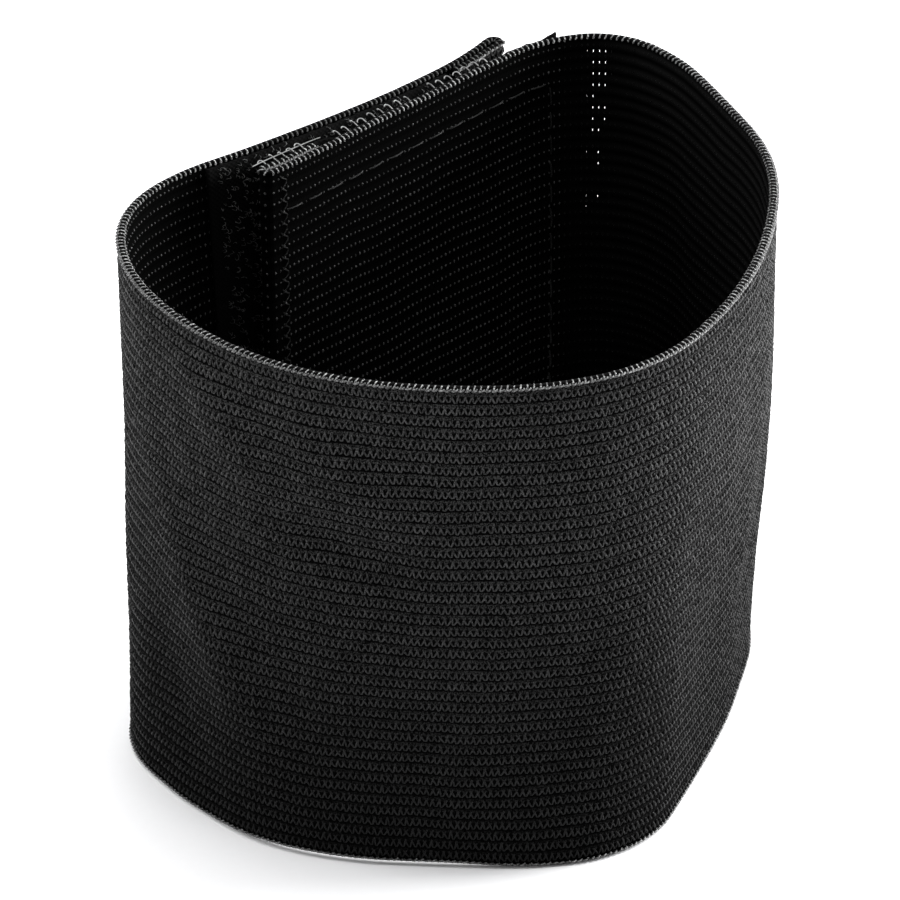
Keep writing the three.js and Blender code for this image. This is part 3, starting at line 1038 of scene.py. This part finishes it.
def tape_surface(end, from_end, heights, away):
    """Places at a distance away from the strip's middle, on the side that this end's tape is on, with
    the ways along, up and out. The hook tape runs over the inner hem."""
    outer = end == "outer"
    hand = -1.0 if outer else 1.0
    strip = from_end if outer else STRIP - from_end
    extra = np.zeros_like(from_end)
    if not outer:
        start = INNER_HEM + HEM_RAMP_START
        extra = (1 - smoothstep(from_end, start, start + HEM_RAMP_LENGTH)) * hem_spacing(from_end)
    flat_cloth = STRIP_AT + np.clip(strip, 0, STRIP)
    place, along, up, normal = cloth_frame(flat_cloth, heights)
    return place + normal * (hand * (away + extra))[:, None], along, up, normal * hand


def tape_top(tape, lengths):
    """The tape's upper edge: cut a little unevenly, and curled up at its far corner."""
    corner = np.clip((lengths - tape.end + CORNER_LENGTH) / CORNER_LENGTH, 0, 1) ** 2
    short, long = NOTCH_WAVES
    notches = NOTCH_DEPTH * np.sin(lengths / short) * np.sin(lengths / long)
    return tape.high + tape.corner_lift * corner + notches


def build_backing(name, node, slot, tape, end, material):
    """A tape's woven backing, sewn flat on the cloth."""
    steps = round((tape.end - tape.start) / BACKING_STEP)
    lengths = np.linspace(tape.start, tape.end, steps + 1)
    if end == "inner":
        lengths = lengths[::-1]
    shares = np.concatenate([np.linspace(0, 0.9, 19), [0.96, 1.0]])
    from_end, share = (grid.ravel() for grid in np.meshgrid(lengths, shares, indexing="ij"))
    heights = tape.low + (tape_top(tape, from_end) - tape.low) * share
    shape = (len(lengths), len(shares), 3)
    near, far = (
        tape_surface(end, from_end, heights, away)[0].reshape(shape) for away in (tape.near, tape.far)
    )
    outer, inner = (near, far) if end == "outer" else (far, near)
    mesh = wall_mesh(name, outer, inner, from_end, heights)
    mesh.materials.append(material)
    attach(show(name, mesh), slot, node)


def build_hook_tape(settings):
    """The hook tape: its backing, rows of turned-over filaments and a taller row at its top edge."""
    backing = backing_material("hook_backing", settings.backing_dark, settings.backing_light)
    build_backing("hook_tape_backing", "hook_patch", "hook_tape", HOOK_TAPE, "inner", backing)
    filament = filament_material("hook_filament", settings.filament_dark, settings.filament_light, 0.22)
    tree = thread_tree("tape_hook", hook)
    pitch = settings.hook_pitch
    low_hook = Thread(0.8 * MM, settings.hook_height, 0.1 * MM, settings.filament_radius, 8, 3, 0.1, 0.5)
    across = np.arange(HOOK_TAPE.start + HOOK_MARGINS.near, HOOK_TAPE.end - HOOK_MARGINS.far, pitch)
    rows = np.arange(HOOK_MARGINS.low, HOOK_TAPE.high - HOOK_MARGINS.high, pitch)
    from_end, heights = (grid.ravel() for grid in np.meshgrid(across, rows, indexing="ij"))
    place, along, _, out = tape_surface("inner", from_end, heights, HOOK_TAPE.far - HOOK_DEPTH)
    bed = point_bed("bed", place, out, along)
    cover("tape_hooks", "hook_tape", bed, tree, low_hook, 80, filament)
    edge_hook = low_hook._replace(height=1.25 * MM, length=1.0 * MM, points=10, sides=5)
    across = np.concatenate([np.arange(*group, pitch) for group in HOOK_GROUPS])
    heights = tape_top(HOOK_TAPE, across) - EDGE_HOOK_DEPTH
    place, along, up, out = tape_surface("inner", across, heights, HOOK_TAPE.far - EDGE_HOOK_DEPTH)
    bed = point_bed("bed", place, out + EDGE_HOOK_LEAN * up, along)
    cover("tape_edge_hooks", "hook_tape", bed, tree, edge_hook, 90, filament)
    loose = low_hook._replace(length=15 * MM, height=0.5 * MM, points=9, turn_jitter=0.0)
    middle = np.array([LOOSE_FILAMENT_AT])
    place, along, up, out = tape_surface("inner", middle, tape_top(HOOK_TAPE, middle), HOOK_TAPE.far)
    bed = point_bed("bed", place + up * LOOSE_FILAMENT_UP + out * LOOSE_FILAMENT_OUT, out, along)
    tree = thread_tree("loose_filament", arched_dash)
    cover("loose_filament", "hook_tape", bed, tree, loose, 95, filament)


def build_loop_tape(settings):
    """The loop tape: its backing and a dense pile of fine loops."""
    backing = backing_material("loop_backing", settings.backing_dark, settings.backing_light)
    build_backing("loop_tape_backing", "loop_patch", "loop_tape", LOOP_TAPE, "outer", backing)
    pile = yarn_material("pile_yarn", settings.pile_dark, settings.pile_light, 0.5, 0.3, fibre=9000.0)
    rng = np.random.default_rng(7)
    tape, margins, count = LOOP_TAPE, PILE_MARGINS, settings.pile_count
    from_end = rng.uniform(tape.start + margins.near, tape.end - margins.far, count)
    heights = rng.uniform(tape.low + margins.low, tape.high - margins.high, count)
    place, along, up, out = tape_surface("outer", from_end, heights, tape.far - PILE_DEPTH)
    lean = rng.uniform(-0.5, 0.5, (2, count))
    out = out + lean[0][:, None] * along + lean[1][:, None] * up
    bed = point_bed("bed", place, out, along)
    cover("loop_pile", "loop_tape", bed, thread_tree("pile_loop", pile_loop), PILE_LOOP, 100, pile)


def seam(end, side, start, finish, pitch):
    """Stitch places on a straight seam, from one (distance from the end, height) to another."""
    start, finish = np.array(start), np.array(finish)
    count = max(2, round(float(np.linalg.norm(finish - start)) / pitch))
    shares = (np.arange(count) + 0.5) / count
    places = start + (finish - start) * shares[:, None]
    strip = places[:, 0] if end == "outer" else STRIP - places[:, 0]
    place, along, up, normal = cloth_frame(STRIP_AT + strip, places[:, 1], side * SEAM_OUT)
    way = finish - start
    way = way / np.linalg.norm(way)
    run = along * (way[0] if end == "outer" else -way[0]) + up * way[1]
    return place, normal * side, run


def build_sewing(settings):
    """The tapes' seams: long stitches on three sides, and a zigzag across the cloth at the fold."""
    thread = yarn_material("sewing_thread", settings.thread_dark, settings.thread_light, 0.45, 0.2)
    low, high = SEAM_INSET, BAND_WIDTH - SEAM_INSET
    lowest, highest = ZIGZAG_INSET, BAND_WIDTH - ZIGZAG_INSET
    runs, zigzags = [], []
    for end, side, tape in (("inner", -1.0, HOOK_TAPE), ("outer", 1.0, LOOP_TAPE)):
        near, far = tape.start + SEAM_NEAR, tape.end - SEAM_FAR
        for height in (low, high):
            runs.append(seam(end, side, (near, height), (far, height), SEAM_PITCH))
        runs.append(seam(end, side, (far, low), (far, high), SEAM_PITCH))
        zigzags.append(seam(end, side, (near, lowest), (near, highest), RIB_PITCH))
    for name, kind, seams, shape, stitch, seed in (
        ("seam_stitches", "seam_stitch", runs, arched_dash, SEAM_STITCH, 120),
        ("seam_zigzags", "seam_zigzag", zigzags, v_stitch, ZIGZAG, 130),
    ):
        bed = point_bed("bed", *(np.concatenate(arrays) for arrays in zip(*seams)))
        cover(name, "ribbed_elastic", bed, thread_tree(kind, shape), stitch, seed, thread)


def build_floor(settings):
    """A wide pale floor."""
    size = settings.floor_size / 2
    corners = [(-size, -size, 0), (size, -size, 0), (size, size, 0), (-size, size, 0)]
    mesh = bpy.data.meshes.new("floor")
    mesh.from_pydata(corners, [], [(0, 1, 2, 3)])
    mesh.materials.append(floor_material(settings.floor_colour))
    show("floor", mesh)


Softbox = namedtuple("Softbox", "name place size")
SOFTBOXES = [
    Softbox("top", (0.15, 0.3, 1.1), 1.2),
    Softbox("left", (-1.0, 0.0, 0.5), 0.8),
    Softbox("right", (1.0, 0.35, 0.27), 0.6),
]


def add_softbox(box, power):
    """A square area light that faces the middle of the armband."""
    light = bpy.data.lights.new(f"{box.name}_softbox", "AREA")
    light.shape = "SQUARE"
    light.size = box.size
    light.energy = power
    lamp = show(light.name, light)
    lamp.location = box.place
    back = np.array(box.place) - np.array((0.0, 0.0, BAND_WIDTH / 2))
    back /= np.linalg.norm(back)
    right = np.cross([0.0, 0.0, 1.0], back)
    right /= np.linalg.norm(right)
    lamp.rotation_euler = Matrix([right, np.cross(back, right), back]).transposed().to_euler()


def build_studio(settings):
    """The floor, the white surroundings, the soft lights and the camera."""
    build_floor(settings)
    world = bpy.data.worlds.new("studio")
    world.use_nodes = True
    background = world.node_tree.nodes["Background"]
    background.inputs["Color"].default_value = (1, 1, 1, 1)
    background.inputs["Strength"].default_value = settings.surround
    scene = bpy.context.scene
    scene.world = world
    scene.view_settings.view_transform = "Standard"
    for box in SOFTBOXES:
        add_softbox(box, getattr(settings, f"{box.name}_power"))
    camera = bpy.data.cameras.new("camera")
    camera.sensor_width = settings.sensor
    camera.lens = settings.lens
    camera.clip_start = 0.05
    camera.clip_end = 20
    eye = show("camera", camera)
    eye.location = (settings.camera_across, -settings.camera_back, settings.camera_height)
    eye.rotation_euler = Euler((math.pi / 2 - settings.camera_pitch, 0, 0))
    scene.camera = eye


def length_property(label, text, size):
    return bpy.props.FloatProperty(
        name=label, description=text, default=size, unit="LENGTH", precision=5,
    )


def level_property(label, text, level):
    return bpy.props.FloatProperty(
        name=label, description=text, default=level, min=0, max=1, subtype="FACTOR",
    )


def power_property(label, text, power):
    return bpy.props.FloatProperty(name=label, description=text, default=power, min=0, unit="POWER")


class ElasticSettings(bpy.types.PropertyGroup):
    """Sizes and tones of the knitted elastic."""

    ground_thickness: length_property("Ground thickness", "Thickness of the knit itself", 0.86 * MM)
    rib_depth: length_property("Rib depth", "How deep a groove is on each face", 0.2 * MM)
    yarn_radius: length_property("Yarn radius", "Half the thickness of the outer yarn", 0.2 * MM)
    stitch_height: length_property("Stitch height", "How far a knitted loop hangs down", 1.18 * MM)
    stitch_bulge: length_property("Stitch bulge", "How far a loop stands out in the middle", 0.17 * MM)
    stitch_seat: length_property("Stitch seat", "How far from the cloth's middle a loop starts", 0.33 * MM)
    bead_seat: length_property("Bead seat", "How far from the cloth's middle an inner bump sits", 0.42 * MM)
    ground_dark: level_property("Ground dark", "Grey level of the grooves", 0.0004)
    ground_light: level_property("Ground light", "Grey level of the loops behind the stitches", 0.046)
    # Painted shade: how much darker the cloth is painted near the floor.
    fade: level_property("Fade", "How much darker the cloth is near the floor", 0.92)
    yarn_dark: level_property("Yarn dark", "Grey level of the darkest stitches", 0.002)
    yarn_light: level_property("Yarn light", "Grey level of the lightest stitches", 0.077)
    inner_dark: level_property("Inner dark", "Grey level of the darkest inner bumps", 0.002)
    inner_light: level_property("Inner light", "Grey level of the lightest inner bumps", 0.05)
    # Painted shade: the inner bumps round the loop are painted far darker than at the ends.
    inner_round_light: level_property("Inner round light", "The same away from the two ends", 0.005)
    edge_dark: level_property("Edge dark", "Grey level of the darkest edge threads", 0.02)
    # Painted highlight: the edge threads are painted far lighter than the knit's yarn.
    edge_light: level_property("Edge light", "Grey level of the lightest edge threads", 0.28)
    thread_dark: level_property("Thread dark", "Grey level of the darkest sewing thread", 0.003)
    thread_light: level_property("Thread light", "Grey level of the lightest sewing thread", 0.011)


class TapeSettings(bpy.types.PropertyGroup):
    """Sizes and tones of the hook and loop tapes."""

    hook_pitch: length_property("Hook pitch", "Distance between hooks", 1.9 * MM)
    hook_height: length_property("Hook height", "Height of a hook above its backing", 1.05 * MM)
    filament_radius: length_property("Filament radius", "Half the thickness of a hook", 0.1 * MM)
    pile_count: bpy.props.IntProperty(
        name="Pile loops", description="Number of loops in the pile", default=2900, subtype="UNSIGNED",
    )
    filament_dark: level_property("Filament dark", "Grey level of the darkest hooks", 0.08)
    filament_light: level_property("Filament light", "Grey level of the lightest hooks", 0.3)
    backing_dark: level_property("Backing dark", "Grey level of the weave's gaps", 0.0008)
    backing_light: level_property("Backing light", "Grey level of the weave's threads", 0.004)
    pile_dark: level_property("Pile dark", "Grey level of the darkest pile", 0.001)
    pile_light: level_property("Pile light", "Grey level of the lightest pile", 0.13)


class StudioSettings(bpy.types.PropertyGroup):
    """The floor, the lights and the camera."""

    floor_size: length_property("Floor size", "Side of the square floor", 6.0)
    floor_colour: bpy.props.FloatVectorProperty(
        name="Floor colour", description="Colour of the paper", subtype="COLOR", size=4,
        default=(0.9, 0.9, 0.91, 1.0), min=0, max=1,
    )
    surround: level_property("Surround", "Light from all round", 0.4)
    top_power: power_property("Top power", "Power of the softbox above", 22)
    left_power: power_property("Left power", "Power of the softbox at the left", 8.5)
    right_power: power_property("Right power", "Power of the softbox at the right", 32)
    sensor: bpy.props.FloatProperty(
        name="Sensor", description="Width of the camera's sensor", default=36, unit="CAMERA",
    )
    lens: bpy.props.FloatProperty(
        name="Lens", description="Focal length of the camera", default=268, unit="CAMERA",
    )
    camera_across: length_property("Camera across", "Camera's place to the right", 0.5 * MM)
    camera_back: length_property("Camera back", "Camera's distance in front of the middle", 859.5 * MM)
    camera_height: length_property("Camera height", "Camera's height above the floor", 555 * MM)
    camera_pitch: bpy.props.FloatProperty(
        name="Camera pitch", description="How far the camera looks down", default=math.radians(31),
        subtype="ANGLE",
    )


class ARMBAND_OT_cloth(bpy.types.Operator):
    """Build the ribbed elastic strip with its folded hems."""

    bl_idname = "armband.cloth"
    bl_label = "Elastic Cloth"

    def execute(self, context):
        build_cloth(context.scene.armband_elastic)
        return {"FINISHED"}


class ARMBAND_OT_outer_stitches(bpy.types.Operator):
    """Knit the loops of the outer face."""

    bl_idname = "armband.outer_stitches"
    bl_label = "Outer Stitches"

    def execute(self, context):
        build_outer_stitches(context.scene.armband_elastic)
        return {"FINISHED"}


class ARMBAND_OT_inner_stitches(bpy.types.Operator):
    """Knit the bumps of the inner face."""

    bl_idname = "armband.inner_stitches"
    bl_label = "Inner Stitches"

    def execute(self, context):
        build_inner_stitches(context.scene.armband_elastic)
        return {"FINISHED"}


class ARMBAND_OT_selvedges(bpy.types.Operator):
    """Wrap the threads of both selvedges."""

    bl_idname = "armband.selvedges"
    bl_label = "Selvedges"

    def execute(self, context):
        build_selvedges(context.scene.armband_elastic)
        return {"FINISHED"}


class ARMBAND_OT_hook_tape(bpy.types.Operator):
    """Build the hook tape on the inner end."""

    bl_idname = "armband.hook_tape"
    bl_label = "Hook Tape"

    def execute(self, context):
        build_hook_tape(context.scene.armband_tapes)
        return {"FINISHED"}


class ARMBAND_OT_loop_tape(bpy.types.Operator):
    """Build the loop tape on the outer end."""

    bl_idname = "armband.loop_tape"
    bl_label = "Loop Tape"

    def execute(self, context):
        build_loop_tape(context.scene.armband_tapes)
        return {"FINISHED"}


class ARMBAND_OT_sewing(bpy.types.Operator):
    """Sew the tapes to the cloth."""

    bl_idname = "armband.sewing"
    bl_label = "Sewing"

    def execute(self, context):
        build_sewing(context.scene.armband_elastic)
        return {"FINISHED"}


class ARMBAND_OT_studio(bpy.types.Operator):
    """Set up the floor, the lights and the camera."""

    bl_idname = "armband.studio"
    bl_label = "Studio"

    def execute(self, context):
        build_studio(context.scene.armband_studio)
        return {"FINISHED"}


OPERATORS = [
    ARMBAND_OT_cloth, ARMBAND_OT_outer_stitches, ARMBAND_OT_inner_stitches, ARMBAND_OT_selvedges,
    ARMBAND_OT_hook_tape, ARMBAND_OT_loop_tape, ARMBAND_OT_sewing, ARMBAND_OT_studio,
]


class ARMBAND_PT_panel(bpy.types.Panel):
    """Lists the armband's pieces in the sidebar."""

    bl_idname = "ARMBAND_PT_panel"
    bl_label = "Armband"
    bl_space_type = "VIEW_3D"
    bl_region_type = "UI"
    bl_category = "Armband"

    def draw(self, context):
        for operator in OPERATORS:
            self.layout.operator(operator.bl_idname)
        for group in SETTINGS:
            settings = getattr(context.scene, group)
            box = self.layout.box()
            for name in settings.__annotations__:
                box.prop(settings, name)


SETTINGS = {
    "armband_elastic": ElasticSettings,
    "armband_tapes": TapeSettings,
    "armband_studio": StudioSettings,
}
CLASSES = [*SETTINGS.values(), *OPERATORS, ARMBAND_PT_panel]


def register():
    for cls in CLASSES:
        bpy.utils.register_class(cls)
    for name, cls in SETTINGS.items():
        setattr(bpy.types.Scene, name, bpy.props.PointerProperty(type=cls))


def unregister():
    for name in SETTINGS:
        delattr(bpy.types.Scene, name)
    for cls in reversed(CLASSES):
        bpy.utils.unregister_class(cls)


def declare_sheets():
    """Lists the knit's stitch pieces, and does nothing with the list."""
    knit = ["outer_stitches_lower", "outer_stitches_middle", "outer_stitches_upper"]
    knit += ["inner_stitches_ends", "inner_stitches_round"]


def main():
    register()
    for operator in OPERATORS:
        group, name = operator.bl_idname.split(".")
        getattr(getattr(bpy.ops, group), name)()
    declare_sheets()


if __name__ == "__main__":
    main()
